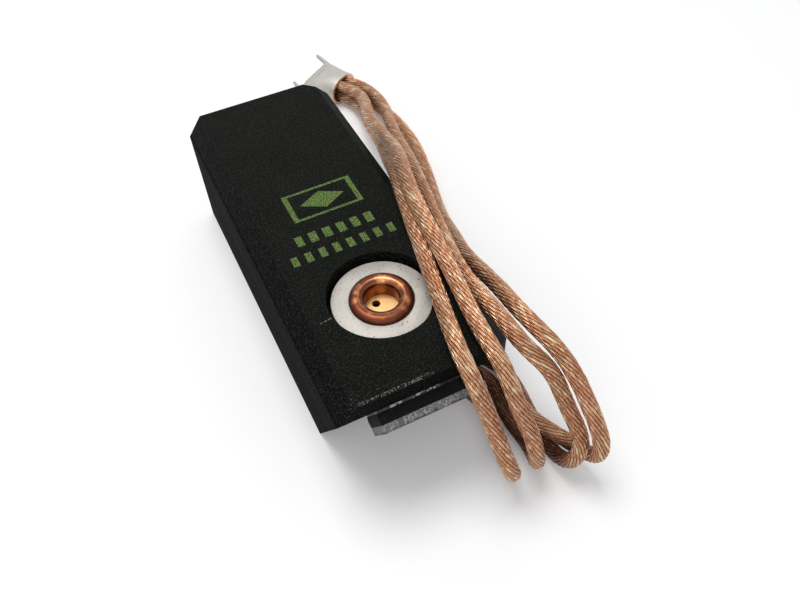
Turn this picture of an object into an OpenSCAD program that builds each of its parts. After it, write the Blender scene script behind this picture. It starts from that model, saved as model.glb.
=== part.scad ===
// Carbon brush of two bonded wafers, with four bare copper cables to one crimp lug.
// Millimetres, +Z up, lying on its broad side. The origin is the middle of the block's
// underside. The pressure end, which a spring pushes, faces -Y, and the end that runs
// on the slip ring faces +Y.

/* [Carbon block] */
// Width of the block
brush_w = 32; // [20:0.5:50]
// Length from the pressure end to the contact end
brush_l = 80; // [50:1:120]
// Thickness of the lower wafer
lower_t = 12.5; // [10:0.5:25]
// Thickness of the upper wafer
upper_t = 14.5; // [10:0.5:25]
// Width that the long top edges' chamfers take off the top face
chamfer_w = 3.2; // [0:0.1:6]
// Height that those chamfers take off the side walls
chamfer_h = 4.2; // [0:0.1:8]
// Height of the upright strip at the top of the pressure end
front_h = 3.3; // [1:0.1:8]
// Undercut of the pressure end below that strip, from upright
bevel_deg = 30; // [0:1:40]
// Leg of the broken corner at the upper wafer's front right
broken_corner = 3.2; // [0:0.1:5]
// Height above the wafers' seam at which that broken corner starts
broken_rise = 2; // [0:0.5:6]
// Depth of the wear on the top face's back right corner
worn_corner = 1.15; // [0:0.05:3]

/* [Rivet and washers] */
// Sideways place of the rivet from the block's middle
rivet_x = 0.4; // [-4:0.1:4]
// Distance of the rivet from the pressure end
rivet_y = 18.6; // [14:0.1:30]
// Outer diameter of the rivet's shank
shank_d = 8.4; // [6:0.1:10]
// Wall of the rivet's shank round its hole
rivet_wall = 1.2; // [0.5:0.1:2]
// Reach of the rivet's rolled flanges past its shank
flange_reach = 1.5; // [0.8:0.1:3]
// Thickness of those flanges
flange_t = 1.2; // [0.8:0.1:2]
// Depth of the closed web below the rivet's top
web_drop = 3.4; // [2:0.1:10]
// Thickness of that web
web_t = 1; // [0.5:0.1:2]
// Diameter of the small vent in the web
vent_d = 1.5; // [0.5:0.1:2]
// Distance of that vent from the rivet's middle, towards the contact end
vent_off = 1.2; // [0:0.1:2]
// Distance of that vent to the left of the rivet's middle
vent_side = 0.6; // [0:0.1:2]
// Diameter of the top washer
washer_d = 17.5; // [13:0.1:20]
// Diameter of the bottom washer
bottom_washer_d = 14; // [12:0.1:18]
// Thickness of both washers
washer_t = 1.5; // [0.8:0.1:2.5]
// Radial clearance of the washers in their recesses
recess_clear = 0.7; // [0.1:0.1:2]
// Depth of the top washer's face below the block's top
washer_drop = 1.75; // [0.5:0.05:4]
// Height of the bottom flange above the block's underside
flange_lift = 0.3; // [0:0.1:2]
// Radial clearance of the shank in the wafers and washers
shank_clear = 0.1; // [0.05:0.05:0.5]

/* [Pressure pad] */
// Width of the pad and of the plate on it
pad_w = 18.5; // [8:0.5:30]
// Height of the pad along the undercut face
pad_h = 10; // [6:0.5:22]
// Thickness of the rubber
pad_t = 2; // [1:0.1:5]
// Thickness of the hard plate
plate_t = 1.4; // [0.5:0.1:3]
// Thickness of the glue under the rubber
glue_t = 0.4; // [0.1:0.1:1]
// Sideways place of the pad from the block's middle
pad_x = -0.2; // [-4:0.1:4]
// Gap from the undercut's top edge to the pad
pad_drop = 0.7; // [0:0.1:4]

/* [Cables and groove] */
// Diameter of each cable
cable_d = 2.9; // [2:0.1:4]
// Slack over one cable's diameter between the bottom flange and washer
cable_slack = 0.1; // [0:0.05:0.5]
// Slack over four cables' diameters across the groove that they leave by
groove_slack = 1.2; // [0.2:0.1:3]
// Height of that groove's top above the bottom washer's underside
groove_rise = 1.1; // [0:0.1:3]
// Turn of the groove from straight sideways, towards the pressure end
groove_deg = 15; // [0:1:30]

/* [Cable lug] */
// Slack over two cables' diameters across the lug's round mouth
mouth_slack_w = 2.4; // [0.5:0.1:5]
// Slack over two cables' diameters up the lug's mouth
mouth_slack_h = 0.4; // [0.1:0.1:3]
// Length of the round mouth
mouth_l = 3; // [2:0.5:8]
// Whole length of the lug without its ears
lug_l = 9.4; // [6:0.1:20]
// Width of the lug's flat end
tail_w = 12.4; // [9:0.1:18]
// Height of the lug's flat end
tail_h = 4.8; // [3:0.1:8]
// Tilt of the flat end, its right side up
tail_tilt = 6; // [0:1:10]
// Thickness of the lug's sheet
sheet_t = 0.6; // [0.3:0.1:1.2]
// Depth from the mouth to the crimped strands
crimp_depth = 2.5; // [1:0.1:5]
// Length of the crimped strands
crimp_l = 4; // [2:0.5:8]
// Length of the right ear
right_ear_l = 4.8; // [0:0.1:8]
// Length of the left ear
left_ear_l = 3.3; // [0:0.1:8]

/* [Hidden] */

round_fn = 96;
fine_fn = 32;
over = 1;

brush_t = lower_t + upper_t;
front_y = -brush_l / 2;
back_y = brush_l / 2;
bevel_top = brush_t - front_h;
rivet_at = [rivet_x, front_y + rivet_y, 0];

top_washer_z = brush_t - washer_drop - washer_t;
bottom_washer_z = flange_lift + flange_t + cable_d + cable_slack;
rivet_top = top_washer_z + washer_t + flange_t;
shank_hole_d = shank_d + 2 * shank_clear;
rivet_hole_d = shank_d - 2 * rivet_wall;
flange_d = shank_d + 2 * flange_reach;
recess_d = washer_d + 2 * recess_clear;
bottom_recess_d = bottom_washer_d + 2 * recess_clear;
groove_w = 4 * cable_d + groove_slack;
groove_h = bottom_washer_z + groove_rise;
mouth_w = 2 * (cable_d + sheet_t) + mouth_slack_w;
mouth_h = 2 * (cable_d + sheet_t) + mouth_slack_h;
wear_tilt = 42;

ear_h = 1.4;
ear_tip_h = 0.7;
ear_rise = 1.5;
ear_turn = 4;
tail_lift = 0.8;

// The lug lies on the same surface as the block. This is where the cables end in it.
lug_at = [28.2, 67.5, 0];
lug_turn = 28.3;

strand_rgb = [0.72, 0.5, 0.36];
copper_rgb = [0.72, 0.42, 0.25];
carbon_rgb = [0.16, 0.17, 0.17];
tin_rgb = [0.75, 0.74, 0.71];
washer_rgb = [0.8, 0.8, 0.79];

// Each cable's way from the rivet, out of the groove, round in front of the block,
// over its top and down to the lug. The last ring faces into the lug.
route_1 = [[2.5, -27, 3], [8, -28.5, 2.9], [12.4, -31.6, 2], [13.6, -37.5, 1.5],
           [12, -44, 2], [10.5, -49.5, 4], [9, -52.5, 8], [7.5, -52, 13.5],
           [6.5, -48.5, 20], [5.5, -44.5, 26.2], [5.5, -39, 29.2], [7.5, -30, 28.6],
           [10, -19, 28.5], [12.8, -6, 29.1], [16.6, 6.5, 25.2], [20.5, 18, 18],
           [24.5, 32, 12], [28, 47, 6.5], [29.5, 62, 2.4], [26.9, 66.8, 2.1]];
route_2 = [[4.1, -24, 3], [10, -25.5, 3], [15, -27.5, 2], [17.5, -32, 1.5],
           [16.5, -39.5, 1.6], [16.5, -46, 2], [15, -51, 5], [13.5, -52.5, 10],
           [12.5, -51.5, 16], [11, -48.5, 22.5], [10.5, -44, 27.5], [10.5, -37.5, 29],
           [11.5, -28, 29.7], [12.6, -17, 31], [14, -6, 31.6], [17.5, 6, 28.7],
           [21.5, 20, 21.5], [26.2, 42, 12.8], [29.4, 62, 5.7], [26.9, 66.8, 5.1]];
route_3 = [[5, -21, 3], [11, -22.5, 3], [17, -24.5, 2], [20.8, -29.5, 1.5],
           [21, -37, 1.5], [20, -44.5, 1.6], [19.9, -50.6, 2.1], [20.2, -54.3, 6.2],
           [21, -54.1, 11.3], [20.3, -50, 16.9], [19, -45.5, 22.5], [16.5, -41.5, 26],
           [15, -35, 28], [14.3, -27, 28], [15.5, -17, 27], [18.5, -4, 25],
           [23, 12, 20.5], [29.3, 35, 12], [32.4, 63.2, 5.3], [29.5, 68.2, 5.1]];
route_4 = [[4.5, -18, 3], [12, -19.4, 3], [17.8, -22.1, 4.3], [19.9, -28.8, 4.8],
           [19, -36.5, 4.3], [19.1, -43.8, 4.8], [22.4, -50.5, 4.3], [23.3, -55.4, 7.1],
           [23, -56.6, 13.1], [22.6, -51.2, 19.5], [21.3, -44.5, 24.7], [19.2, -37, 27],
           [19.2, -28, 25.5], [20, -17, 21.5], [23.5, -6, 15], [28, 7.5, 7],
           [33.5, 24, 2.2], [37, 42, 1.6], [32.1, 63.4, 2.2], [29.5, 68.2, 2.1]];

groove_dir = [cos(groove_deg), -sin(groove_deg), 0];
lug_dir = [-sin(lug_turn), cos(lug_turn), 0];
ring_sides = 8;

function unit(v) = v / norm(v);

// Heading of a route at point i. Its two ends face along the groove and into the lug.
function heading(route, i) =
    i == 0 ? groove_dir :
    i == len(route) - 1 ? lug_dir :
    unit(route[i + 1] - route[i - 1]);

// A direction square to the route at point i, carried along it without twist.
function across(route, i) =
    let (t = heading(route, i), s = i == 0 ? [0, 0, 1] : across(route, i - 1))
    unit(s - (s * t) * t);

function ring(route, i) =
    let (s = across(route, i), u = cross(heading(route, i), s))
    [for (k = [0:ring_sides - 1])
        let (a = (k + 0.5) * 360 / ring_sides)
        route[i] + cable_d / 2 * (cos(a) * s + sin(a) * u)];

// A tube of one ring per route point, closed at both ends.
module tube(route) {
    last = len(route) - 1;
    points = [for (i = [0:last]) each ring(route, i)];
    sides = [for (i = [0:last - 1], k = [0:ring_sides - 1])
        let (n = (k + 1) % ring_sides, a = i * ring_sides, b = a + ring_sides)
        each [[a + k, b + k, b + n], [a + k, b + n, a + n]]];
    start = [for (k = [0:ring_sides - 1]) k];
    end = [for (k = [ring_sides - 1:-1:0]) last * ring_sides + k];
    polyhedron(points = points, faces = concat(sides, [start, end]), convexity = 6);
}

// The block's outer shape between two heights: chamfered section, undercut front.
module block_slab(low, high) {
    intersection() {
        translate([0, back_y, 0])
            rotate([90, 0, 0])
                linear_extrude(brush_l)
                    polygon([[-brush_w / 2, 0], [brush_w / 2, 0],
                             [brush_w / 2, brush_t - chamfer_h],
                             [brush_w / 2 - chamfer_w, brush_t],
                             [chamfer_w - brush_w / 2, brush_t],
                             [-brush_w / 2, brush_t - chamfer_h]]);
        translate([-brush_w, -brush_l, low])
            cube([2 * brush_w, 2 * brush_l, high - low]);
        rotate([90, 0, 90])
            translate([0, 0, -brush_w])
                linear_extrude(2 * brush_w)
                    polygon([[front_y, brush_t + over], [front_y, bevel_top],
                             [front_y + bevel_top * tan(bevel_deg), 0],
                             [back_y + over, 0], [back_y + over, brush_t + over]]);
    }
}

module shank_hole() {
    translate(rivet_at - [0, 0, over])
        cylinder(d = shank_hole_d, h = brush_t + 2 * over, $fn = round_fn);
}

// Takes off the corner between the front strip and the right chamfer.
module broken_front_corner() {
    translate([brush_w / 2 - broken_corner, front_y, lower_t + broken_rise])
        rotate([0, 0, -45])
            translate([0, -brush_w / 2, 0])
                cube([brush_w, brush_w, upper_t]);
}

// Takes off the top face's back right corner, square to its diagonal.
module worn_back_corner() {
    translate([brush_w / 2 - chamfer_w, back_y, brush_t])
        rotate([0, -wear_tilt, 45])
            translate([-worn_corner, -brush_w / 2, -brush_w / 2])
                cube(brush_w);
}

module upper_wafer() {
    color(carbon_rgb)
        difference() {
            block_slab(lower_t, brush_t);
            shank_hole();
            translate(rivet_at + [0, 0, top_washer_z])
                cylinder(d = recess_d, h = brush_t, $fn = round_fn);
            broken_front_corner();
            worn_back_corner();
        }
}

module lower_wafer() {
    color(carbon_rgb)
        difference() {
            block_slab(0, lower_t);
            shank_hole();
            translate(rivet_at - [0, 0, over])
                cylinder(d = bottom_recess_d, h = bottom_washer_z + washer_t + over,
                         $fn = round_fn);
            translate(rivet_at)
                rotate([0, 0, -groove_deg])
                    translate([0, -groove_w / 2, -over])
                        cube([brush_w, groove_w, groove_h + over]);
        }
}

module washer(outer_d, z) {
    color(washer_rgb)
        translate(rivet_at + [0, 0, z])
            difference() {
                cylinder(d = outer_d, h = washer_t, $fn = round_fn);
                translate([0, 0, -over])
                    cylinder(d = shank_hole_d, h = washer_t + 2 * over, $fn = round_fn);
            }
}

module top_washer() {
    washer(washer_d, top_washer_z);
}

module bottom_washer() {
    washer(bottom_washer_d, bottom_washer_z);
}

// Half section of one rolled flange, with a round rim.
module flange_section() {
    rim_r = flange_t / 2;
    translate([rivet_hole_d / 2, 0])
        square([(flange_d - rivet_hole_d) / 2 - rim_r, flange_t]);
    translate([flange_d / 2 - rim_r, rim_r])
        circle(r = rim_r, $fn = fine_fn);
}

module hollow_rivet() {
    color(copper_rgb)
        translate(rivet_at)
            difference() {
                union() {
                    rotate_extrude($fn = round_fn) {
                        translate([rivet_hole_d / 2, flange_lift])
                            square([(shank_d - rivet_hole_d) / 2, rivet_top - flange_lift]);
                        translate([0, flange_lift])
                            flange_section();
                        translate([0, rivet_top - flange_t])
                            flange_section();
                    }
                    translate([0, 0, rivet_top - web_drop - web_t])
                        cylinder(d = shank_d, h = web_t, $fn = round_fn);
                }
                translate([-vent_side, vent_off, rivet_top - web_drop - web_t - over])
                    cylinder(d = vent_d, h = web_t + 2 * over, $fn = fine_fn);
            }
}

// One layer on the undercut face, lifted clear of it by the layers under it.
module bevel_layer(lift, thick) {
    translate([pad_x - pad_w / 2, front_y, bevel_top])
        rotate([90 + bevel_deg, 0, 0])
            translate([0, -pad_drop - pad_h, lift])
                cube([pad_w, pad_h, thick]);
}

module glue_film() {
    color([0.32, 0.36, 0.34])
        bevel_layer(0, glue_t);
}

module rubber_pad() {
    color([0.12, 0.12, 0.12])
        bevel_layer(glue_t, pad_t);
}

module pressure_plate() {
    color([0.45, 0.45, 0.43])
        bevel_layer(glue_t + pad_t, plate_t);
}

// Moves a shape from the lug's own frame, where its mouth is at y = 0, to its place.
module at_lug() {
    translate(lug_at)
        rotate([0, 0, lug_turn])
            translate([0, -crimp_depth, 0])
                children();
}

// A flat-sided oval slice of the lug, standing across its length.
module oval_slice(y, w, h, thick) {
    translate([0, y + thick, 0])
        rotate([90, 0, 0])
            linear_extrude(thick)
                hull()
                    for (side = [-1, 1])
                        translate([side * (w - h) / 2, 0])
                            circle(d = h, $fn = fine_fn);
}

// The lug's shape, shrunk on every side by inset: a round mouth that flattens to the tail.
module lug_form(inset, extra) {
    slice_t = 0.1;
    translate([0, 0, mouth_h / 2]) {
        oval_slice(-extra, mouth_w - 2 * inset, mouth_h - 2 * inset, mouth_l + extra);
        hull() {
            oval_slice(mouth_l - slice_t, mouth_w - 2 * inset, mouth_h - 2 * inset, slice_t);
            translate([0, 0, tail_h / 2 + tail_lift - mouth_h / 2])
                rotate([0, -tail_tilt, 0])
                    oval_slice(lug_l - slice_t + extra, tail_w - 2 * inset,
                               tail_h - 2 * inset, slice_t);
        }
    }
}

// A thin ear that runs on from one side of the flat end and rises to its tip.
module ear(side, long) {
    tail_z = tail_h / 2 + tail_lift + side * (tail_w - sheet_t) / 2 * sin(tail_tilt);
    root = 1.5;
    translate([side * (tail_w - sheet_t) / 2, lug_l, tail_z])
        rotate([90, 0, 90 - ear_turn])
            translate([0, 0, -sheet_t / 2])
                linear_extrude(sheet_t)
                    polygon([[-root, -ear_h / 2], [0, -ear_h / 2],
                             [long, ear_rise - ear_tip_h / 2],
                             [long, ear_rise + ear_tip_h / 2],
                             [0, ear_h / 2], [-root, ear_h / 2]]);
}

module cable_lug() {
    color(tin_rgb)
        at_lug()
            difference() {
                union() {
                    lug_form(0, 0);
                    ear(1, right_ear_l);
                    ear(-1, left_ear_l);
                }
                difference() {
                    lug_form(sheet_t, over);
                    for (side = [-1, 1])
                        translate([side * tail_w / 2 - sheet_t, lug_l, 0])
                            cube([2 * sheet_t, over * 2, mouth_h]);
                }
            }
}

module crimped_strands() {
    color(strand_rgb)
        at_lug()
            intersection() {
                lug_form(sheet_t, over);
                translate([-mouth_w, crimp_depth, -over])
                    cube([2 * mouth_w, crimp_l, 2 * mouth_h]);
            }
}

module cable_1() {
    color(strand_rgb) tube(route_1);
}

module cable_2() {
    color(strand_rgb) tube(route_2);
}

module cable_3() {
    color(strand_rgb) tube(route_3);
}

module cable_4() {
    color(strand_rgb) tube(route_4);
}

upper_wafer();
lower_wafer();
top_washer();
bottom_washer();
hollow_rivet();
glue_film();
rubber_pad();
pressure_plate();
cable_lug();
crimped_strands();
cable_1();
cable_2();
cable_3();
cable_4();
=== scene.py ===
# %% [markdown]
# # A carbon brush, finished in Blender
#
# A carbon brush carries current to a turning ring. This one is two wafers of
# carbon graphite glued face to face, with a copper rivet that holds four bare
# stranded cables, and a crimped lug on the cables' far end. The measured model
# gives every place and size. Here each piece gets its real surface.

# %% The fixed frame
import math

import bmesh
import bpy
import numpy as np
from mathutils import Matrix, Vector, noise


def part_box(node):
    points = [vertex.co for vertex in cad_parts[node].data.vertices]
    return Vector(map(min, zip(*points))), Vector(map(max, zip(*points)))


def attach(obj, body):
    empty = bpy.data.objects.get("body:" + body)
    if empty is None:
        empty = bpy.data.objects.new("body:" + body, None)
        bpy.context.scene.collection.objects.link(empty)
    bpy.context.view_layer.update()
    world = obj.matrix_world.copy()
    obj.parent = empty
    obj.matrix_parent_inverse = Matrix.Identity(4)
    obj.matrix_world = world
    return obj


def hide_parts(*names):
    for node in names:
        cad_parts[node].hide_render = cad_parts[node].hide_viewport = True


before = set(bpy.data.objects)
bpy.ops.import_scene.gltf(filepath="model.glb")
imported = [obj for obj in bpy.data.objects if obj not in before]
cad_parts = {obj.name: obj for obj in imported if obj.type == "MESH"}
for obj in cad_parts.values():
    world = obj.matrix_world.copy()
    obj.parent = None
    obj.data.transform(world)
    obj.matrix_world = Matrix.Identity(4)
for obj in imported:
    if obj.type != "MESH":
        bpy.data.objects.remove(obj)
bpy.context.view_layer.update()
MM = 0.001
print("nodes:", sorted(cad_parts))

# %% [markdown]
# ## The camera
#
# A camera is a matrix: its right, its up and the way it looks back. Building it
# from a compass turn, a tilt down and a small roll is easier to read and to
# adjust than nine bare numbers, so the three angles are kept by themselves.

# %% Camera
turn, tilt, roll = math.radians(24.5206), math.radians(51.0297), math.radians(-2.3921)
forward = Vector((math.sin(turn) * math.cos(tilt), math.cos(turn) * math.cos(tilt),
                  -math.sin(tilt)))
level_right = Vector((math.cos(turn), -math.sin(turn), 0.0))
level_up = level_right.cross(forward)
cam_right = math.cos(roll) * level_right + math.sin(roll) * level_up
cam_up = -math.sin(roll) * level_right + math.cos(roll) * level_up

camera_data = bpy.data.cameras.new("camera")
camera_data.sensor_width = 36.0
camera_data.lens = 33.80
camera_data.clip_start = 0.005
camera = bpy.data.objects.new("camera", camera_data)
bpy.context.scene.collection.objects.link(camera)
CAMERA_AT = Vector((-30.276, -96.157, 124.657)) * MM
place = Matrix((cam_right, cam_up, -forward)).transposed().to_4x4()
place.translation = CAMERA_AT
camera.matrix_world = place
bpy.context.scene.camera = camera
print("camera at", [round(v, 4) for v in place.translation])

# %% [markdown]
# ## Finishes as Python sums
#
# A material in Blender is a graph of nodes. Wiring each sum by hand hides what
# it means, so a small class wraps a socket and turns + - * / into Math nodes.
# One method adds any other node. After that a finish reads like its recipe.


# %% A socket that can be reckoned with
class Field:
    """A number that varies over a surface, held as a socket of a node."""

    def __init__(self, finish, socket):
        self.finish, self.socket = finish, socket

    def _sum(self, kind, a, b, clamp=False):
        return self.finish.add("ShaderNodeMath", {"operation": kind, "use_clamp": clamp},
                               {0: a, 1: b})

    def __add__(self, other):
        return self._sum("ADD", self, other)

    def __radd__(self, other):
        return self._sum("ADD", other, self)

    def __sub__(self, other):
        return self._sum("SUBTRACT", self, other)

    def __rsub__(self, other):
        return self._sum("SUBTRACT", other, self)

    def __mul__(self, other):
        return self._sum("MULTIPLY", self, other)

    def __rmul__(self, other):
        return self._sum("MULTIPLY", other, self)

    def __truediv__(self, other):
        return self._sum("DIVIDE", self, other)

    def __rtruediv__(self, other):
        return self._sum("DIVIDE", other, self)

    def below(self, edge, soft):
        """1 below the edge, 0 above it, with a soft step between."""
        return ((edge - self) * (1.0 / soft)).held()

    def above(self, edge, soft):
        """0 below the edge, 1 above it, with a soft step between."""
        return ((self - edge) * (1.0 / soft)).held()

    def held(self):
        """Kept from 0 to 1."""
        return self._sum("ADD", self, 0.0, clamp=True)

    def size(self):
        return self.finish.add("ShaderNodeMath", {"operation": "ABSOLUTE"}, {0: self})

    def wave(self):
        return self.finish.add("ShaderNodeMath", {"operation": "SINE"}, {0: self})

    def within(self, low, high, soft):
        return self.above(low, soft) * self.below(high, soft)

    def near(self, middle, reach, soft):
        """1 within reach of the middle, 0 further off, with a soft step between."""
        return (self - middle).size().below(reach, soft)

    def larger(self, other):
        return self._sum("MAXIMUM", self, other)


# %% A material and the one way to add a node to it
class Finish:
    """A material with one Principled shader. Constants go on its own sockets."""

    def __init__(self, name, roughness=0.5, metallic=0.0, **constants):
        self.material = bpy.data.materials.new(name)
        self.material.use_nodes = True
        self.nodes = self.material.node_tree.nodes
        self.links = self.material.node_tree.links
        self.shader = self.nodes["Principled BSDF"]
        self.shader.inputs["Roughness"].default_value = roughness
        self.shader.inputs["Metallic"].default_value = metallic
        for socket, value in constants.items():
            self.shader.inputs[socket.replace("_", " ")].default_value = value

    def add(self, kind, settings=None, inputs=None, out=0):
        node = self.nodes.new(kind)
        stops = (settings or {}).pop("stops", None)
        for key, value in (settings or {}).items():
            setattr(node, key, value)
        if stops:
            ramp = node.color_ramp.elements
            while len(ramp) < len(stops):
                ramp.new(0.5)
            for element, (at, rgb) in zip(ramp, stops):
                element.position = at
                element.color = (*rgb, 1.0)
        for key, value in (inputs or {}).items():
            if isinstance(value, Field):
                self.links.new(value.socket, node.inputs[key])
            else:
                node.inputs[key].default_value = value
        return Field(self, node.outputs[out])

    def place(self):
        return self.add("ShaderNodeTexCoord", out="Object")

    def axes(self, vector=None):
        vector = vector or self.place()
        split = self.add("ShaderNodeSeparateXYZ", {}, {0: vector})
        return [Field(self, split.socket.node.outputs[i]) for i in range(3)]

    def scaled(self, x, y, z, turned=(0.0, 0.0, 0.0)):
        return self.add("ShaderNodeMapping", {}, {"Vector": self.place(),
                        "Scale": (x, y, z), "Rotation": turned})

    def noise(self, scale, detail=3.0, rough=0.55, vector=None):
        return self.add("ShaderNodeTexNoise", {"noise_dimensions": "3D"},
                        {"Vector": vector or self.place(), "Scale": scale,
                         "Detail": detail, "Roughness": rough})

    def specks(self, scale, vector=None):
        return self.add("ShaderNodeTexVoronoi", {"feature": "F1"},
                        {"Vector": vector or self.place(), "Scale": scale})

    def blend(self, amount, first, second):
        """A colour that goes from first to second as amount goes from 0 to 1."""
        node = self.add("ShaderNodeMix", {"data_type": "RGBA"}, {0: amount}).socket.node
        for socket, value in ((node.inputs[6], first), (node.inputs[7], second)):
            if isinstance(value, Field):
                self.links.new(value.socket, socket)
            else:
                socket.default_value = (*value, 1.0)
        return Field(self, node.outputs[2])

    def drive(self, socket, value):
        self.links.new(value.socket, self.shader.inputs[socket])
        return self

    def relief(self, height, strength, distance):
        bump = self.add("ShaderNodeBump", {}, {"Strength": strength,
                        "Distance": distance, "Height": height})
        return self.drive("Normal", bump)


def put_on(piece, finish):
    piece.data.materials.clear()
    piece.data.materials.append(finish.material)
    return piece


# %% [markdown]
# ## Where the cables run
#
# A cable is a fixed length of something flexible. Each route lists the points it
# passes on its way out of the groove, round in front of the block, over the top
# and down to the lug. A cubic spline, spaced by the distance between points,
# joins them without kinks, as a springy cable would.

# %% Routes and the smooth line through each
ROUTES = {
    "cable_1": [[2.5, -27, 3], [8, -28.5, 2.9], [12.4, -31.6, 2], [13.6, -37.5, 1.5],
                [12, -44, 2], [10.5, -49.5, 4], [9, -52.5, 8], [7.5, -52, 13.5],
                [6.5, -48.5, 20], [5.5, -44.5, 26.2], [5.5, -39, 29.2], [7.5, -30, 28.6],
                [10, -19, 28.5], [12.8, -6, 29.1], [16.6, 6.5, 25.2], [20.5, 18, 18],
                [24.5, 32, 12], [28, 47, 6.5], [29.5, 62, 2.4], [26.9, 66.8, 2.1]],
    "cable_2": [[4.1, -24, 3], [10, -25.5, 3], [15, -27.5, 2], [17.5, -32, 1.5],
                [16.5, -39.5, 1.6], [16.5, -46, 2], [15, -51, 5], [13.5, -52.5, 10],
                [12.5, -51.5, 16], [11, -48.5, 22.5], [10.5, -44, 27.5], [10.5, -37.5, 29],
                [11.5, -28, 29.7], [12.6, -17, 31], [14, -6, 31.6], [17.5, 6, 28.7],
                [21.5, 20, 21.5], [26.2, 42, 12.8], [29.4, 62, 5.7], [26.9, 66.8, 5.1]],
    "cable_3": [[5, -21, 3], [11, -22.5, 3], [17, -24.5, 2], [20.8, -29.5, 1.5],
                [21, -37, 1.5], [20, -44.5, 1.6], [19.9, -50.6, 2.1], [20.2, -54.3, 6.2],
                [21, -54.1, 11.3], [20.3, -50, 16.9], [19, -45.5, 22.5], [16.5, -41.5, 26],
                [15, -35, 28], [14.3, -27, 28], [15.5, -17, 27], [18.5, -4, 25],
                [23, 12, 20.5], [29.3, 35, 12], [32.4, 63.2, 5.3], [29.5, 68.2, 5.1]],
    "cable_4": [[4.5, -18, 3], [12, -19.4, 3], [17.8, -22.1, 4.3], [19.9, -28.8, 4.8],
                [19, -36.5, 4.3], [19.1, -43.8, 4.8], [22.4, -50.5, 4.3], [23.3, -55.4, 7.1],
                [23, -56.6, 13.1], [22.6, -51.2, 19.5], [21.3, -44.5, 24.7], [19.2, -37, 27],
                [19.2, -28, 25.5], [20, -17, 21.5], [23.5, -6, 15], [28, 7.5, 7],
                [33.5, 24, 2.2], [37, 42, 1.6], [32.1, 63.4, 2.2], [29.5, 68.2, 2.1]],
}


def smooth_line(points, step):
    """Points about step apart on the natural cubic spline through the given ones."""
    p = np.array(points, float)
    t = np.concatenate([[0.0], np.cumsum(np.linalg.norm(np.diff(p, axis=0), axis=1))])
    h = np.diff(t)[:, None]
    n = len(p)
    system, right = np.eye(n), np.zeros((n, 3))
    for i in range(1, n - 1):
        system[i, i - 1:i + 2] = h[i - 1, 0], 2 * (h[i - 1, 0] + h[i, 0]), h[i, 0]
        right[i] = 6 * ((p[i + 1] - p[i]) / h[i] - (p[i] - p[i - 1]) / h[i - 1])
    bend = np.linalg.solve(system, right)
    out = []
    for s in np.linspace(0.0, t[-1], int(round(t[-1] / step)) + 1):
        i = min(int(np.searchsorted(t, s, side="right")) - 1, n - 2)
        a, b, w = t[i + 1] - s, s - t[i], h[i, 0]
        out.append(bend[i] * a ** 3 / (6 * w) + bend[i + 1] * b ** 3 / (6 * w)
                   + (p[i] / w - bend[i] * w / 6) * a + (p[i + 1] / w - bend[i + 1] * w / 6) * b)
    return np.array(out)


def line_length(points):
    return float(np.linalg.norm(np.diff(points, axis=0), axis=1).sum())


lines = {name: smooth_line(route, 0.5) * MM for name, route in ROUTES.items()}
for name, line in lines.items():
    print(name, "is", round(line_length(line) * 1000, 1), "mm long")

# %% [markdown]
# ## Rope-laid cable, grown by Geometry Nodes
#
# A brush's cable is a small rope: strands of hair-thin wire wound round a middle
# strand. Modelling each strand by hand would never stay even. The node tree
# copies the centre line once per strand, pushes each copy out sideways by an
# angle that grows along the cable, and sweeps a small round profile along it.
# The number of strands, their size and the length of one full turn are named
# inputs, so that one tree serves all four cables.

# %% The cable tree
def socket_in(tree, name, kind, value=None):
    socket = tree.interface.new_socket(name, in_out="INPUT", socket_type=kind)
    if value is not None:
        socket.default_value = value
    return socket


def new_node(tree, kind, inputs=None, **settings):
    """Adds a node: its settings first, then the value or the link of each socket."""
    node = tree.nodes.new(kind)
    for key, value in settings.items():
        setattr(node, key, value)
    for key, value in (inputs or {}).items():
        if isinstance(value, bpy.types.NodeSocket):
            tree.links.new(value, node.inputs[key])
        else:
            node.inputs[key].default_value = value
    return node


class Tree:
    """A geometry tree, and short ways to add sums and nodes to it."""

    def __init__(self, name):
        self.tree = bpy.data.node_groups.new(name, "GeometryNodeTree")
        self.tree.interface.new_socket("Geometry", in_out="INPUT",
                                       socket_type="NodeSocketGeometry")
        self.tree.interface.new_socket("Geometry", in_out="OUTPUT",
                                       socket_type="NodeSocketGeometry")

    def add(self, kind, inputs=None, out=0, **settings):
        node = new_node(self.tree, kind, inputs, **settings)
        return node.outputs[out] if out is not None else node

    def maths(self, kind, a, b=0.0):
        return self.add("ShaderNodeMath", {0: a, 1: b}, operation=kind)

    def vector(self, kind, a, b=None, scale=None):
        inputs = {0: a}
        if b is not None:
            inputs[1] = b
        if scale is not None:
            inputs["Scale"] = scale
        return self.add("ShaderNodeVectorMath", inputs, operation=kind)


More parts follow.
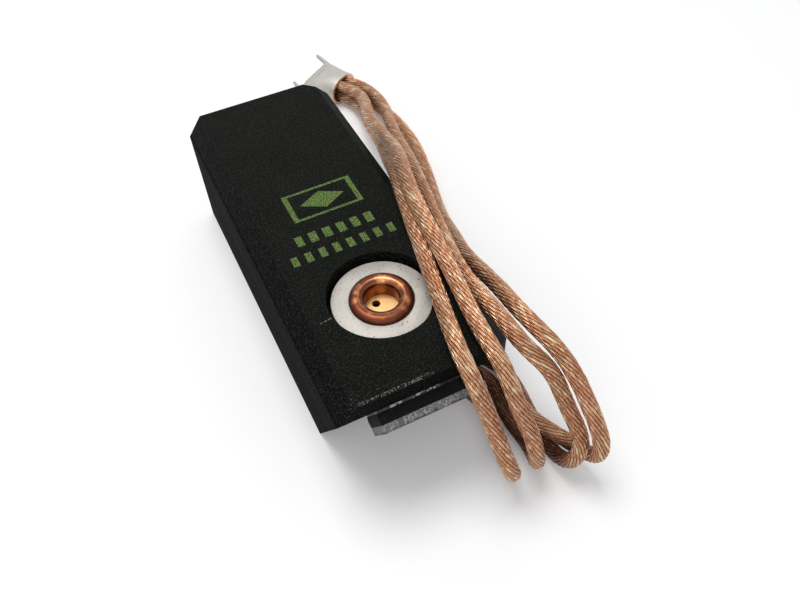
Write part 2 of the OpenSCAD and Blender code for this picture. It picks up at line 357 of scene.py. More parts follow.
def rope_tree():
    t = Tree("rope_laid_cable")
    names = {}
    for name, kind, value in (("Strands", "NodeSocketInt", 14),
                              ("Strand radius", "NodeSocketFloat", 0.00030),
                              ("Ring radius", "NodeSocketFloat", 0.00115),
                              ("Lay length", "NodeSocketFloat", 0.0235),
                              ("Unevenness", "NodeSocketFloat", 0.15),
                              ("Material", "NodeSocketMaterial", None)):
        names[name] = socket_in(t.tree, name, kind, value).identifier
    given = t.add("NodeGroupInput", out=None)
    along = t.add("GeometryNodeSplineParameter", out="Length")
    copies = t.add("GeometryNodeDuplicateElements", {0: given.outputs["Geometry"],
                   "Amount": given.outputs["Strands"]}, out=None, domain="SPLINE")
    share = t.maths("DIVIDE", copies.outputs["Duplicate Index"], given.outputs["Strands"])
    turns = t.maths("DIVIDE", along, given.outputs["Lay length"])
    angle = t.maths("MULTIPLY", t.maths("SUBTRACT", share, turns), 2 * math.pi)
    normal = t.add("GeometryNodeInputNormal")
    tangent = t.add("GeometryNodeInputTangent")
    side = t.vector("CROSS_PRODUCT", tangent, normal)
    place_now = t.add("GeometryNodeInputPosition")
    seed = t.maths("MULTIPLY", copies.outputs["Duplicate Index"], 3.7)
    rough = t.add("ShaderNodeTexNoise", {"Vector": place_now, "W": seed, "Scale": 260.0,
                  "Detail": 1.0}, noise_dimensions="4D")
    swell = t.maths("ADD", 1.0, t.maths("MULTIPLY", t.maths("SUBTRACT", rough, 0.5),
                                        given.outputs["Unevenness"]))
    reach = t.maths("MULTIPLY", given.outputs["Ring radius"], swell)
    across = t.vector("SCALE", normal, scale=t.maths("MULTIPLY", reach,
                                                     t.maths("COSINE", angle)))
    up = t.vector("SCALE", side, scale=t.maths("MULTIPLY", reach, t.maths("SINE", angle)))
    middle = t.add("GeometryNodeCaptureAttribute", {0: copies.outputs[0]}, out=None,
                   domain="POINT")
    middle.capture_items.new("VECTOR", "Middle")
    t.tree.links.new(place_now, middle.inputs[1])
    moved = t.add("GeometryNodeSetPosition", {0: middle.outputs[0],
                  "Offset": t.vector("ADD", across, up)})
    # Each strand keeps its number, so that no two strands show the same tone.
    numbered = t.add("GeometryNodeStoreNamedAttribute", {0: moved, "Name": "strand",
                     "Value": t.maths("ADD", copies.outputs["Duplicate Index"], 1.0)},
                     data_type="FLOAT", domain="POINT")
    both = t.add("GeometryNodeJoinGeometry", out=None)
    t.tree.links.new(numbered, both.inputs[0])
    t.tree.links.new(given.outputs["Geometry"], both.inputs[0])
    along_kept = t.add("GeometryNodeCaptureAttribute", {0: both.outputs[0]}, out=None,
                       domain="POINT")
    along_kept.capture_items.new("FLOAT", "Along")
    t.tree.links.new(t.add("GeometryNodeSplineParameter", out="Length"),
                     along_kept.inputs[1])
    # An open arc of a full turn has its own first and last point, which a UV seam needs.
    arc = t.add("GeometryNodeCurveArc", {"Resolution": 9, "Radius":
                given.outputs["Strand radius"], "Sweep Angle": 2 * math.pi})
    round_kept = t.add("GeometryNodeCaptureAttribute", {0: arc}, out=None, domain="POINT")
    round_kept.capture_items.new("FLOAT", "Round")
    t.tree.links.new(t.add("GeometryNodeSplineParameter", out="Factor"),
                     round_kept.inputs[1])
    mesh = t.add("GeometryNodeCurveToMesh", {"Curve": along_kept.outputs[0],
                 "Profile Curve": round_kept.outputs[0], "Fill Caps": False})
    uv = t.add("ShaderNodeCombineXYZ", {0: round_kept.outputs[1],
               1: along_kept.outputs[1]})
    stored = t.add("GeometryNodeStoreNamedAttribute", {0: mesh, "Name": "UVMap",
                   "Value": uv}, data_type="FLOAT2", domain="CORNER")
    # How far each point stands from the cable's middle tells crests from grooves.
    reach_now = t.add("ShaderNodeVectorMath", {0: place_now, 1: middle.outputs[1]},
                      out="Value", operation="DISTANCE")
    crest = t.maths("DIVIDE", reach_now, t.maths("ADD", given.outputs["Ring radius"],
                                                 given.outputs["Strand radius"]))
    marked = t.add("GeometryNodeStoreNamedAttribute", {0: stored, "Name": "crest",
                   "Value": crest}, data_type="FLOAT", domain="POINT")
    closed = t.add("GeometryNodeMergeByDistance", {0: marked, "Distance": 0.000002})
    smooth = t.add("GeometryNodeSetShadeSmooth", {0: closed})
    real = t.add("GeometryNodeRealizeInstances", {0: smooth})
    last = t.add("GeometryNodeSetMaterial", {0: real,
                 "Material": given.outputs["Material"]})
    out = t.add("NodeGroupOutput", out=None)
    t.tree.links.new(last, out.inputs[0])
    return t.tree, names


cable_tree, cable_inputs = rope_tree()
print("cable tree has", len(cable_tree.nodes), "nodes")

# %% [markdown]
# ## Bare stranded copper
#
# Each strand is a bundle of hair-thin wires with its own twist, a little darkened
# by handling. The pattern follows the strand's own UV map, round and along, so
# that it bends with the cable. Dark lines between wires do more for the look than
# colour does, because they are where light is lost.

# %% Copper strand finish
def copper_strand():
    f = Finish("copper_strand", roughness=0.3, metallic=0.85)
    uv = f.add("ShaderNodeUVMap", {"uv_map": "UVMap"})
    round_at, along_at, _ = f.axes(uv)
    strand = f.add("ShaderNodeAttribute", {"attribute_name": "strand"}, out="Fac")
    crest = f.add("ShaderNodeAttribute", {"attribute_name": "crest"}, out="Fac")
    own = f.add("ShaderNodeCombineXYZ", {}, {0: strand * 7.3, 1: along_at * 260.0})
    tone = f.noise(1.0, 3.0, vector=own)
    wires = ((round_at * 6.0 - along_at * 480.0) * (2 * math.pi)).wave()
    flecks_and_glints = f.noise(2200.0, 3.0)
    # The runs that lie on the floor under the folds get painted shade, dark and brown.
    x, y, z = f.axes()
    shade_underneath = z.below(0.0072, 0.0035) * y.below(-0.0200, 0.004)
    stained = f.noise(190.0, 3.0).above(0.52, 0.14)
    # Painted shade: the grooves where strands meet are made nearly black.
    groove_shade = crest.below(0.935, 0.050)
    base = f.blend(tone.above(0.49, 0.20), (0.52, 0.245, 0.125), (0.96, 0.71, 0.45))
    # Painted highlights: bright glints on the strands' crests, where flecks fall.
    base = f.blend(crest.above(0.965, 0.03) * flecks_and_glints.above(0.50, 0.14) * 0.8, base,
                   (1.0, 0.84, 0.60))
    base = f.blend(stained * 0.40, base, (0.50, 0.17, 0.085))
    # Painted shade: dark lines between the wires.
    base = f.blend(wires.below(-0.30, 0.45) * 0.64, base, (0.19, 0.078, 0.042))
    base = f.blend(groove_shade * 0.94, base, (0.060, 0.020, 0.011))
    f.drive("Base Color", f.blend(shade_underneath * 0.72, base, (0.11, 0.033, 0.020)))
    f.drive("Roughness", 0.26 + flecks_and_glints * 0.22 + groove_shade * 0.3)
    return f.relief(wires * 0.5 + flecks_and_glints * 0.6, 0.7, 0.00010)


copper_wire = copper_strand()


def grow_cable(name, line):
    curve = bpy.data.curves.new(name + "_line", "CURVE")
    curve.dimensions = "3D"
    spline = curve.splines.new("POLY")
    spline.points.add(len(line) - 1)
    spline.points.foreach_set("co", np.c_[line, np.ones(len(line))].ravel())
    source = bpy.data.objects.new(name + "_line", curve)
    bpy.context.scene.collection.objects.link(source)
    modifier = source.modifiers.new("rope", "NODES")
    modifier.node_group = cable_tree
    modifier[cable_inputs["Material"]] = copper_wire.material
    got = source.evaluated_get(bpy.context.evaluated_depsgraph_get())
    mesh = bpy.data.meshes.new_from_object(got)
    bpy.data.objects.remove(source)
    piece = bpy.data.objects.new(name + "_strands", mesh)
    bpy.context.scene.collection.objects.link(piece)
    return put_on(piece, copper_wire)


cables = {name: grow_cable(name, line) for name, line in lines.items()}
for name, piece in cables.items():
    print(name, len(piece.data.polygons), "faces", [u.name for u in piece.data.uv_layers])

for name, piece in cables.items():
    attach(piece, "root")
    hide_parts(name)

# %% [markdown]
# ## Pieces from the measured model
#
# Where the measured shape is right, a copy of it is the best start. Its triangles
# are loose, so the copy is merged and its flat parts are joined into whole faces.
# A narrow bevel then gives each edge the width that catches light.


# %% Copy a node with softened edges
def merged_copy(node, name, bevel, segments=2, angle=22.0):
    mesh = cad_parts[node].data.copy()
    bm = bmesh.new()
    bm.from_mesh(mesh)
    bmesh.ops.remove_doubles(bm, verts=bm.verts, dist=0.000005)
    bmesh.ops.dissolve_limit(bm, angle_limit=math.radians(1.0), verts=bm.verts,
                             edges=bm.edges)
    sharp = [e for e in bm.edges if len(e.link_faces) == 2
             and e.calc_face_angle(0.0) > math.radians(angle)]
    if bevel > 0:
        bmesh.ops.bevel(bm, geom=sharp, offset=bevel, segments=segments, profile=0.5,
                        affect="EDGES", clamp_overlap=True)
    bm.to_mesh(mesh)
    bm.free()
    mesh.polygons.foreach_set("use_smooth", [True] * len(mesh.polygons))
    piece = bpy.data.objects.new(name, mesh)
    bpy.context.scene.collection.objects.link(piece)
    piece.data.set_sharp_from_angle(angle=math.radians(32.0))
    return piece


def settle(piece, node, finish):
    """Gives a finished piece its body and its finish, and hides the node it stands for."""
    put_on(piece, finish)
    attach(piece, "root")
    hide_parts(node)
    print(piece.name, len(piece.data.polygons), "faces")
    return piece


wafer_pieces = {node: merged_copy(node, node + "_body", 0.45 * MM, 3)
                for node in ("upper_wafer", "lower_wafer")}
print({name: len(p.data.vertices) for name, p in wafer_pieces.items()})

# %% [markdown]
# ## Carbon graphite
#
# Pressed carbon is nearly black, but no two of its faces are the same. The side walls are given a
# paler colour, with streaks along the block. The top is given a darker, grainy colour, and the
# chamfers the darkest. The block is ink-stamped in green, here with a plain frame, a diamond and
# two rows of bars. Masks made from the object's own coordinates say which face is which, so that
# the pattern never slides.

# %% The block's own faces, from the measured model
BLOCK_TOP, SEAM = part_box("upper_wafer")[1].z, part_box("lower_wafer")[1].z
HALF_WIDTH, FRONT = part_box("upper_wafer")[1].x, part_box("upper_wafer")[0].y
RIVET_X, RIVET_Y = 0.4, -21.4
print("top", round(BLOCK_TOP, 4), "seam", round(SEAM, 4), "front", round(FRONT, 4))


# %% Carbon finish
def stamped_marks(f, x, y, z):
    """Where the green ink lies: a frame round a diamond, and two rows of bars."""
    across, along = (x - 0.0004).size(), (y - 0.0045).size()
    frame_edge = (across / 0.0070).larger(along / 0.0038)
    outline = frame_edge.within(0.84, 1.0, 0.02)
    diamond = (across / 0.0046 + along / 0.0024).below(1.0, 0.06)
    six = (x * (2 * math.pi / 0.00275)).wave().above(-0.25, 0.2)
    row_one = six * x.within(-0.0082, 0.0082, 0.0001) * y.within(-0.0052, -0.0026, 0.0001)
    eight = (x * (2 * math.pi / 0.00266)).wave().above(0.0, 0.2)
    row_two = eight * x.within(-0.0106, 0.0106, 0.0001) * y.within(-0.0094, -0.0070, 0.0001)
    ink = outline.larger(diamond).larger(row_one).larger(row_two)
    missed = f.noise(4300.0, 3.0).above(0.42, 0.10)
    return ink * missed * z.above(BLOCK_TOP - 0.0004, 0.0001)


def carbon():
    f = Finish("carbon", roughness=0.6, Specular_IOR_Level=0.03)
    x, y, z = f.axes()
    top = z.above(BLOCK_TOP - 0.0003, 0.00015)
    wall = x.size().above(HALF_WIDTH - 0.0004, 0.0002)
    grain, fine = f.noise(3300.0, 5.0), f.noise(7200.0, 2.0)
    clouds = f.noise(150.0, 3.0)
    streaks = f.noise(1.0, 5.0, vector=f.scaled(300.0, 30.0, 1500.0))
    speckle = grain.above(0.50, 0.16)
    edge_face = f.blend(speckle, (0.0012, 0.0014, 0.0012), (0.0250, 0.0275, 0.0235))
    top_face = f.blend(speckle * 0.8 + clouds * 0.2, (0.0030, 0.0034, 0.0029),
                       (0.0270, 0.0302, 0.0252))
    wall_face = f.blend(streaks.above(0.54, 0.30) * 0.45 + speckle * 0.55,
                        (0.0012, 0.0020, 0.0012), (0.0360, 0.0420, 0.0330))
    # The joint between the wafers shows as a dark line along the walls.
    joint = z.near(SEAM, 0.00011, 0.00010)
    wall_face = f.blend(joint * 0.9, wall_face, (0.0006, 0.0008, 0.0006))
    colour = f.blend(wall, f.blend(top, edge_face, top_face), wall_face)
    pores = f.specks(1500.0).below(0.13, 0.05) * fine.above(0.50, 0.06)
    colour = f.blend(pores * 0.35, colour, (0.16, 0.18, 0.15))
    # Handling wear: fine dots along the top's front edge, a few chips at its left
    # corner, and one short scratch beside the recess.
    dots = f.noise(4200.0, 3.0)
    front = y.within(FRONT, FRONT + 0.0008, 0.00025) * z.above(BLOCK_TOP - 0.0008, 0.0004)
    scuffed = front * x.within(-0.0125, 0.0010, 0.001) * dots.above(0.53, 0.05)
    second = y.within(FRONT + 0.0014, FRONT + 0.0019, 0.0002) * top
    second = second * x.within(-0.0115, -0.0045, 0.001)
    corner = y.below(FRONT + 0.0028, 0.0015) * x.within(-0.0150, -0.0106, 0.001)
    corner = corner * z.above(BLOCK_TOP - 0.0025, 0.001)
    chipped = (corner + second).held() * dots.above(0.64, 0.04)
    faint = y.within(-0.0330, -0.0260, 0.002) * top * x.below(0.0035, 0.001)
    faint = faint * dots.above(0.66, 0.03) * clouds.above(0.48, 0.08)
    nick = x.near(-0.0103, 0.0013, 0.0003) * top * dots.above(0.48, 0.08)
    nick = nick * (y - x * 0.12).near(RIVET_Y * MM, 0.00014, 0.00008)
    wear = scuffed.larger(chipped).larger(nick).larger(faint * 0.45)
    colour = f.blend(wear * 0.62, colour, (0.33, 0.36, 0.33))
    ink = stamped_marks(f, x, y, z)
    f.drive("Base Color", f.blend(ink * 0.85, colour, (0.180, 0.275, 0.080)))
    f.drive("Roughness", 0.56 + grain * 0.2 + wall * 0.22)
    return f.relief(grain * 0.7 + fine * 0.6 + wear * 0.5 + streaks * wall, 0.9, 0.00014)


carbon_finish = carbon()
for node, piece in wafer_pieces.items():
    settle(piece, node, carbon_finish)

# %% [markdown]
# ## Washers
#
# The washers are stamped steel with a soft matt plating, so they reflect as a
# pale cloud and not as a mirror. A few dark specks and one fine scratch keep the
# broad ring from looking computed. The stamped edge is rounded a little.

# %% Washers
def plated_washer():
    f = Finish("washer_plating", roughness=0.5, metallic=0.25)
    x, y, _ = f.axes()
    cloud, fine = f.noise(240.0, 4.0), f.noise(3000.0, 2.0)
    base = f.blend(cloud, (0.42, 0.39, 0.345), (0.60, 0.57, 0.515))
    base = f.blend(f.noise(2100.0, 4.0).below(0.44, 0.09) * 0.55, base, (0.26, 0.24, 0.21))
    specks = f.specks(900.0).below(0.17, 0.05) * f.noise(520.0, 2.0).above(0.55, 0.05)
    scratch = (y - (x - 0.0072) * 0.8).near(RIVET_Y * MM, 0.00005, 0.00004)
    scratch = scratch * x.within(0.0060, 0.0082, 0.0003)
    f.drive("Base Color", f.blend(specks.larger(scratch * 0.5) * 0.8, base,
                                  (0.09, 0.08, 0.07)))
    f.drive("Roughness", 0.42 + cloud * 0.16)
    return f.relief(fine * 0.5 + cloud, 0.25, 0.00006)


washer_finish = plated_washer()
for node in ("top_washer", "bottom_washer"):
    settle(merged_copy(node, node + "_ring", 0.14 * MM), node, washer_finish)

# %% [markdown]
# ## The hollow rivet
#
# A hollow rivet is a copper tube whose ends are rolled over. Turning one outline round an axis is
# how a lathe makes it, and how it is made here. The roll is half an ellipse, with a small lip
# where the tool left the hole. A thin web closes the tube inside, with its vent off to one side,
# so it is made as a separate ring of faces between the wall and the vent.

# %% Turn an outline round the rivet's axis
RIVET_TOP, RIVET_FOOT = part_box("hollow_rivet")[1].z / MM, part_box("hollow_rivet")[0].z / MM
HOLE_R, SHANK_R, FLANGE_R, FLANGE_T = 3.0, 4.2, 5.7, 1.2
WEB_DROP, WEB_T = 3.4, 1.0
VENT_R, VENT_ASIDE, VENT_OFF = 0.75, -0.6, 1.2


def rolled_end(z_face, up):
    """Outline of one rolled end, from the hole outwards and back to the shank."""
    mid, reach = (HOLE_R + FLANGE_R) / 2, (FLANGE_R - HOLE_R) / 2
    seat = z_face - up * FLANGE_T
    outline = []
    for step in range(25):
        a = math.pi * (1 - step / 24)
        r = mid + reach * math.cos(a)
        lip = 0.10 * math.exp(-((r - HOLE_R - 0.28) / 0.16) ** 2)
        outline.append((r, seat + up * min(FLANGE_T, FLANGE_T * math.sin(a) * 0.93 + lip)))
    return outline + [(FLANGE_R - 0.25, seat + up * 0.001), (SHANK_R, seat + up * 0.001)]


def turned(outline, x, y, segments=96):
    """A closed outline of (radius, height), turned round the upright axis at x, y."""
    bm = bmesh.new()
    rings = []
    for k in range(segments):
        a = 2 * math.pi * k / segments
        rings.append([bm.verts.new(((x + r * math.cos(a)) * MM, (y + r * math.sin(a)) * MM,
                                    z * MM)) for r, z in outline])
    n = len(outline)
    for k in range(segments):
        here, there = rings[k], rings[(k + 1) % segments]
        for i in range(n):
            j = (i + 1) % n
            bm.faces.new((here[i], there[i], there[j], here[j]))
    bmesh.ops.recalc_face_normals(bm, faces=bm.faces)
    return bm


def web_with_vent(bm, x, y, low, high, outer, vent, aside, off, sides=64):
    ring = {}
    for z in (low, high):
        for tag, r, dx, dy in (("wall", outer, 0.0, 0.0), ("vent", vent, aside, off)):
            ring[tag, z] = [bm.verts.new(((x + dx + r * math.cos(2 * math.pi * k / sides)) * MM,
                            (y + dy + r * math.sin(2 * math.pi * k / sides)) * MM, z * MM))
                            for k in range(sides)]
    pairs = ((("wall", high), ("vent", high)), (("vent", high), ("vent", low)),
             (("vent", low), ("wall", low)), (("wall", low), ("wall", high)))
    faces = []
    for a, b in pairs:
        for k in range(sides):
            j = (k + 1) % sides
            faces.append(bm.faces.new((ring[a][k], ring[a][j], ring[b][j], ring[b][k])))
    bmesh.ops.recalc_face_normals(bm, faces=faces)


def as_piece(bm, name, sharp=35.0):
    mesh = bpy.data.meshes.new(name)
    bm.to_mesh(mesh)
    bm.free()
    mesh.polygons.foreach_set("use_smooth", [True] * len(mesh.polygons))
    mesh.set_sharp_from_angle(angle=math.radians(sharp))
    piece = bpy.data.objects.new(name, mesh)
    bpy.context.scene.collection.objects.link(piece)
    return piece


top_end = rolled_end(RIVET_TOP, 1)
foot_end = rolled_end(RIVET_FOOT, -1)
rivet = turned(top_end + foot_end[::-1], RIVET_X, RIVET_Y)
WEB_TOP = RIVET_TOP - WEB_DROP
web_with_vent(rivet, RIVET_X, RIVET_Y, WEB_TOP - WEB_T, WEB_TOP, HOLE_R + 0.1,
              VENT_R, VENT_ASIDE, VENT_OFF)
rivet = as_piece(rivet, "rolled_rivet")


# %% Bright copper, with painted highlights and painted shade round the roll
def rivet_copper():
    f = Finish("rivet_copper", roughness=0.25, metallic=1.0)
    x, y, z = f.axes()
    dx, dy = x - RIVET_X * MM, y - RIVET_Y * MM
    far = f.add("ShaderNodeMath", {"operation": "SQRT"}, {0: dx * dx + dy * dy})
    cloud, fine = f.noise(420.0, 5.0), f.noise(3400.0, 2.0)
    base = f.blend(cloud.above(0.50, 0.18), (0.15, 0.045, 0.022), (0.50, 0.215, 0.095))
    # Painted highlights: bright rings on the roll's ridge and on the lip at the hole.
    ridge_highlight = far.near(0.0040, 0.00022, 0.0003)
    lip = far.near(0.0032, 0.00014, 0.0002)
    base = f.blend(ridge_highlight.larger(lip) * 0.45, base, (0.72, 0.40, 0.22))
    # Painted shade: a dark ring in the hollow between ridge and lip, and dark on the roll's outer
    # edge.
    between = far.near(0.0036, 0.00010, 0.0002)
    shaded_rim = far.above(0.0045, 0.0007)
    base = f.blend(shaded_rim.larger(between) * 0.80, base, (0.115, 0.034, 0.020))
    # Painted shadow: nearly black low on the roll's outer edge, where it meets the washer.
    shade_underneath = far.above(0.0052, 0.0003) * z.below((RIVET_TOP - 0.75) * MM, 0.0003)
    base = f.blend(shade_underneath * 0.85, base, (0.035, 0.014, 0.010))
    # Painted shade: the wall down inside the hole is dark red.
    shaded_hole_wall = far.below((HOLE_R + 0.02) * MM, 0.00005) * z.below((RIVET_TOP - 1.0) * MM, 0.0006)
    base = f.blend(shaded_hole_wall * 0.92, base, (0.110, 0.014, 0.005))
    # Painted highlight: a bright orange band down one side of the hole's wall.
    hole_highlight = x.near((RIVET_X - 0.7) * MM, 0.0009, 0.0006) * shaded_hole_wall
    base = f.blend(hole_highlight * 0.6, base, (0.80, 0.30, 0.09))
    web = z.below((WEB_TOP + 0.1) * MM, 0.0001) * far.below(HOLE_R * MM, 0.0001)
    base = f.blend(web * 0.9, base, (0.80, 0.50, 0.22))
    spots = f.specks(900.0).below(0.13, 0.05) * cloud.above(0.45, 0.1)
    f.drive("Base Color", f.blend(spots * 0.6, base, (0.12, 0.05, 0.03)))
    f.drive("Roughness", 0.22 + cloud * 0.22 + shaded_rim * 0.14 + web * 0.12)
    return f.relief(fine * 0.4 + cloud, 0.45, 0.00008)


settle(rivet, "hollow_rivet", rivet_copper())

# %% [markdown]
# ## The pad on the undercut face
#
# A spring pushes on a hard plate, and the rubber under it keeps the push quiet.
# All three layers lie on the slanted face, so they share one way to place a
# point: across, down the face, and out from it. A fine grid lets the rubber bulge
# between its two hard neighbours, the plate's sawn edge go ragged, and the glue
# end in a lumpy bead.

# %% Layers on the slanted face
SLANT = math.radians(30)
GLUE_OUT, RUBBER_OUT, PLATE_OUT = 0.4, 2.4, 3.8
PAD_LEFT, PAD_RIGHT, PAD_HIGH, PAD_LOW = -9.45, 9.05, 0.7, 10.7
FACE_TOP = Vector((0.0, -40.0, 23.7))
DOWN = Vector((0.0, math.sin(SLANT), -math.cos(SLANT)))
OUT = Vector((0.0, -math.cos(SLANT), -math.sin(SLANT)))


def on_face(across, down, out):
    return (FACE_TOP + Vector((across, 0, 0)) + down * DOWN + out * OUT) * MM


def layer(name, out_low, out_high, shift, cells=(60, 48, 4)):
    """A closed slab of small faces, each point moved by shift(across, down, out share)."""
    bm = bmesh.new()
    verts = {}
    for i in range(cells[0] + 1):
        for j in range(cells[1] + 1):
            for k in range(cells[2] + 1):
                if 0 < i < cells[0] and 0 < j < cells[1] and 0 < k < cells[2]:
                    continue
                u = PAD_LEFT + (PAD_RIGHT - PAD_LEFT) * i / cells[0]
                v = PAD_HIGH + (PAD_LOW - PAD_HIGH) * j / cells[1]
                w = out_low + (out_high - out_low) * k / cells[2]
                inward_u = 1 if i == 0 else -1 if i == cells[0] else 0
                inward_v = 1 if j == 0 else -1 if j == cells[1] else 0
                du, dv = shift(u, v, k / cells[2])
                verts[i, j, k] = bm.verts.new(on_face(u + inward_u * du, v + inward_v * dv, w))
    for axis in range(3):
        a, b = [n for n in range(3) if n != axis]
        for end in (0, cells[axis]):
            for p in range(cells[a]):
                for q in range(cells[b]):
                    corner = []
                    for da, db in ((0, 0), (1, 0), (1, 1), (0, 1)):
                        key = [0, 0, 0]
                        key[axis], key[a], key[b] = end, p + da, q + db
                        corner.append(verts[tuple(key)])
                    bm.faces.new(corner)
    bmesh.ops.recalc_face_normals(bm, faces=bm.faces)
    return as_piece(bm, name, 50.0)


def lumps(u, v, seed, scale):
    return 0.5 + 0.5 * noise.noise(Vector((u * scale, v * scale, seed)))


def rubber_shift(u, v, share):
    bulge = -0.10 * math.sin(math.pi * share)
    return bulge + 0.12 * lumps(u, v, 3.0, 0.8), bulge + 0.12 * lumps(u, v, 4.0, 0.8)


def plate_shift(u, v, share):
    nick = max(0.0, lumps(u, v, 9.0, 1.9) - 0.62) * 2.2
    fray = 0.10 * lumps(u, v, 7.0 + share, 3.5)
    return nick * share + fray, nick * share + fray


def glue_shift(u, v, share):
    ragged = 0.35 * lumps(u, v, 12.0, 1.4)
    return ragged, ragged * 0.6


glue = layer("glue_layer", 0.0, GLUE_OUT, glue_shift)
rubber = layer("rubber_layer", GLUE_OUT, RUBBER_OUT, rubber_shift, cells=(60, 32, 6))
plate = layer("plate_layer", RUBBER_OUT, PLATE_OUT, plate_shift, cells=(100, 54, 6))


# %% Glue, rubber and board finishes
def cured_glue():
    f = Finish("cured_glue", roughness=0.3, Specular_IOR_Level=0.5)
    patch, fine = f.noise(620.0, 4.0), f.noise(2600.0, 2.0)
    x = f.axes()[0]
    # Beads and a blob of glue, lighter teal: partly the glue's own colour, partly painted glints,
    # with the whitest spots painted glints.
    beads = x.within(-0.0040, 0.0022, 0.0006) * f.noise(1500.0, 3.0).above(0.50, 0.05)
    blob = x.within(-0.0072, -0.0048, 0.0004) * patch.above(0.42, 0.08)
    beads_and_glints = beads.larger(blob)
    base = f.blend(beads_and_glints, (0.008, 0.010, 0.009), (0.42, 0.52, 0.47))
    f.drive("Base Color", f.blend(beads_and_glints * fine.above(0.55, 0.1) * 0.6, base, (0.75, 0.80, 0.75)))
    f.drive("Roughness", 0.22 + fine * 0.25)
    return f.relief(patch + fine * 0.4, 0.5, 0.00012)


def pad_rubber():
    f = Finish("pad_rubber", roughness=0.75, Specular_IOR_Level=0.08)
    grain, dust = f.noise(2100.0, 4.0), f.noise(380.0, 3.0).above(0.6, 0.15)
    base = f.blend(grain, (0.0030, 0.0030, 0.0034), (0.0085, 0.0085, 0.0092))
    f.drive("Base Color", f.blend(dust * 0.18, base, (0.05, 0.05, 0.05)))
    f.drive("Roughness", 0.62 + grain * 0.2)
    return f.relief(grain, 0.4, 0.00008)


def sawn_board():
    f = Finish("sawn_board", roughness=0.65, Specular_IOR_Level=0.35)
    x, y, z = f.axes()
    out = (y - FACE_TOP.y * MM) * OUT.y + (z - FACE_TOP.z * MM) * OUT.z
    weave = (x * 5200.0).wave() * ((y * 2600.0 - z * 4500.0).wave())
    fleck, fibre = f.noise(3300.0, 4.0), f.noise(1.0, 3.0, vector=f.scaled(900.0, 200.0, 200.0))
    base = f.blend(fleck.above(0.49, 0.18), (0.11, 0.115, 0.12), (0.37, 0.38, 0.385))
    base = f.blend(weave.above(0.35, 0.5) * 0.25, base, (0.44, 0.45, 0.45))
    # The outer 0.3 mm of the plate, along a ragged line, is painted dark.
    ragged = out + (fibre - 0.5) * 0.0012
    outer_dark_band = ragged.above((PLATE_OUT - 0.3) * MM, 0.00010)
    chip = x.within(-0.0070, -0.0058, 0.0002) * fleck.above(0.46, 0.06)
    marks = outer_dark_band.larger(chip * 0.8)
    f.drive("Base Color", f.blend(marks * 0.85, base, (0.040, 0.040, 0.043)))
    f.drive("Roughness", 0.55 + fleck * 0.2)
    return f.relief(fleck + weave * 0.4 + fibre, 0.5, 0.00010)


settle(glue, "glue_film", cured_glue())
settle(rubber, "rubber_pad", pad_rubber())
settle(plate, "pressure_plate", sawn_board())

# %% [markdown]
# ## The crimp lug
#
# The lug is a folded tinned sheet, pressed flat on the cables' ends. Its measured
# shape already has the round mouth, the flat end and the two ears, so it is kept
# and its edges softened. A slit and a faint press mark across its back are drawn
# in the lug's own directions, by turning the coordinates as the lug is turned.

# %% Lug and the crimped strands in it
LUG_TURN = math.radians(28.3)
LUG_X, LUG_Y = 28.2 * MM, 67.5 * MM


def tinned_copper():
    f = Finish("tinned_copper", roughness=0.38, metallic=0.65)
    x, y, z = f.axes()
    dx, dy = x - LUG_X, y - LUG_Y
    across = dx * math.cos(LUG_TURN) + dy * math.sin(LUG_TURN)
    along = dy * math.cos(LUG_TURN) - dx * math.sin(LUG_TURN) + 0.0025
    cloud, fine = f.noise(420.0, 4.0), f.noise(2400.0, 3.0)
    base = f.blend(cloud, (0.42, 0.40, 0.36), (0.60, 0.575, 0.525))
    top = z.above(0.0036, 0.0004)
    slit = along.near(0.0075, 0.00022, 0.00008) * across.within(-0.0026, 0.0020, 0.0001)
    mark = along.near(0.0062, 0.00016, 0.00014) * across.within(0.0022, 0.0050, 0.0003)
    lip = along.below(0.0006, 0.0004)
    base = f.blend(lip * 0.65, base, (0.78, 0.56, 0.40))
    base = f.blend(mark * top * 0.4, base, (0.22, 0.20, 0.18))
    # Painted shade: the slit is a dark line, broken in places, with a dent in the bump.
    slit_breaks = f.noise(700.0, 2.0).above(0.42, 0.20)
    f.drive("Base Color", f.blend(slit * top * slit_breaks * 0.75, base, (0.10, 0.09, 0.08)))
    f.drive("Roughness", 0.32 + cloud * 0.2)
    return f.relief(cloud + fine * 0.3 - slit * 2.0 - mark * 0.6, 0.45, 0.00012)


settle(merged_copy("cable_lug", "pressed_lug", 0.06 * MM, 1, 40.0), "cable_lug",
       tinned_copper())


def pressed_strands():
    f = Finish("pressed_strands", roughness=0.4, metallic=1.0)
    ends = f.specks(2300.0)
    tone = f.noise(500.0, 3.0)
    base = f.blend(tone, (0.52, 0.25, 0.13), (0.82, 0.50, 0.31))
    # Painted shade: dark between the wire ends, so that only their tips stay light.
    f.drive("Base Color", f.blend(ends.above(0.34, 0.2) * 0.8, base, (0.10, 0.035, 0.02)))
    f.drive("Roughness", 0.3 + tone * 0.25)
    return f.relief(1.0 - ends, 0.8, 0.00020)


settle(merged_copy("crimped_strands", "pressed_ends", 0.0), "crimped_strands",
       pressed_strands())

# %% [markdown]
# ## Floor and light
#
# Broad overhead light, a little from behind, gives soft edges and keeps the
# copper's colour. The floor shows white to the camera and to reflections, and
# still takes a faint shadow, because part of it is lit and part glows.

# %% Which rays see the floor and the sky as they are
def straight_look(tree):
    """1 for rays from the camera, off metal or through glass, and 0 for bounced light."""
    rays = new_node(tree, "ShaderNodeLightPath").outputs
    seen = rays["Is Camera Ray"]
    for kind in ("Is Glossy Ray", "Is Transmission Ray"):
        larger = new_node(tree, "ShaderNodeMath", {0: seen, 1: rays[kind]},
                          operation="MAXIMUM")
        seen = larger.outputs[0]
    return seen


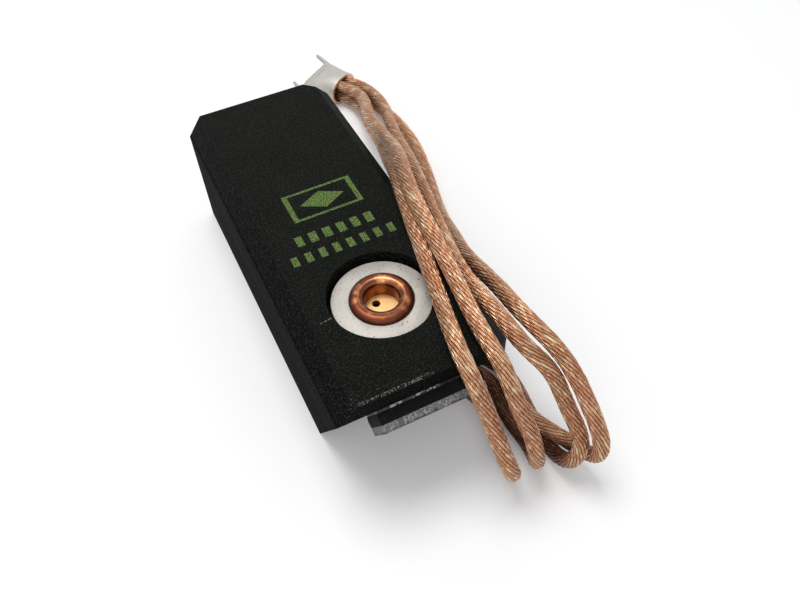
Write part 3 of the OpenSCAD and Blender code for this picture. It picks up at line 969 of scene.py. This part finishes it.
# %% Floor
GLOW_SHARE = 0.10
floor_mesh = bpy.data.meshes.new("floor")
floor_mesh.from_pydata([(-3, -3, 0), (3, -3, 0), (3, 3, 0), (-3, 3, 0)], [], [(0, 1, 2, 3)])
floor = bpy.data.objects.new("floor", floor_mesh)
bpy.context.scene.collection.objects.link(floor)
floor_finish = bpy.data.materials.new("floor")
floor_finish.use_nodes = True
tree = floor_finish.node_tree
tree.nodes.clear()
seen = straight_look(tree)
colour = new_node(tree, "ShaderNodeMix", {0: seen, 6: (0.80, 0.80, 0.81, 1.0),
                  7: (1.0, 1.0, 1.0, 1.0)}, data_type="RGBA").outputs[2]
lit = new_node(tree, "ShaderNodeBsdfDiffuse", {"Color": colour}).outputs[0]
glow = new_node(tree, "ShaderNodeEmission", {"Color": (1.0, 1.0, 1.0, 1.0)}).outputs[0]
share = new_node(tree, "ShaderNodeMath", {0: seen, 1: GLOW_SHARE},
                 operation="MULTIPLY").outputs[0]
mixed = new_node(tree, "ShaderNodeMixShader", {0: share, 1: lit, 2: glow}).outputs[0]
new_node(tree, "ShaderNodeOutputMaterial", {"Surface": mixed})
floor.data.materials.append(floor_finish)

# %% World and lamps
SKY_LIGHT = 0.52
world = bpy.data.worlds.new("studio")
bpy.context.scene.world = world
world.use_nodes = True
sky = world.node_tree
ground = sky.nodes["Background"]
ground.inputs["Color"].default_value = (0.97, 0.98, 1.0, 1.0)
shown = new_node(sky, "ShaderNodeMath", {0: straight_look(sky), 1: 1.0 - SKY_LIGHT,
                 2: SKY_LIGHT}, operation="MULTIPLY_ADD").outputs[0]
sky.links.new(shown, ground.inputs["Strength"])


def soft_lamp(name, at, aim, size, power, colour=(1.0, 1.0, 1.0)):
    lamp = bpy.data.lights.new(name, "AREA")
    lamp.shape, lamp.size, lamp.energy, lamp.color = "DISK", size, power, colour
    holder = bpy.data.objects.new(name, lamp)
    bpy.context.scene.collection.objects.link(holder)
    holder.location = at
    holder.rotation_euler = (Vector(aim) - Vector(at)).to_track_quat("-Z", "Y").to_euler()
    return holder


soft_lamp("overhead", (-0.05, 0.14, 0.60), (0.0, 0.0, 0.0), 0.34, 2.0)
soft_lamp("front_fill", (-0.25, -0.40, 0.45), (0.0, 0.0, 0.0), 0.35, 0.6)
bpy.context.scene.view_settings.view_transform = "Standard"

# %% Finish
bpy.context.view_layer.update()
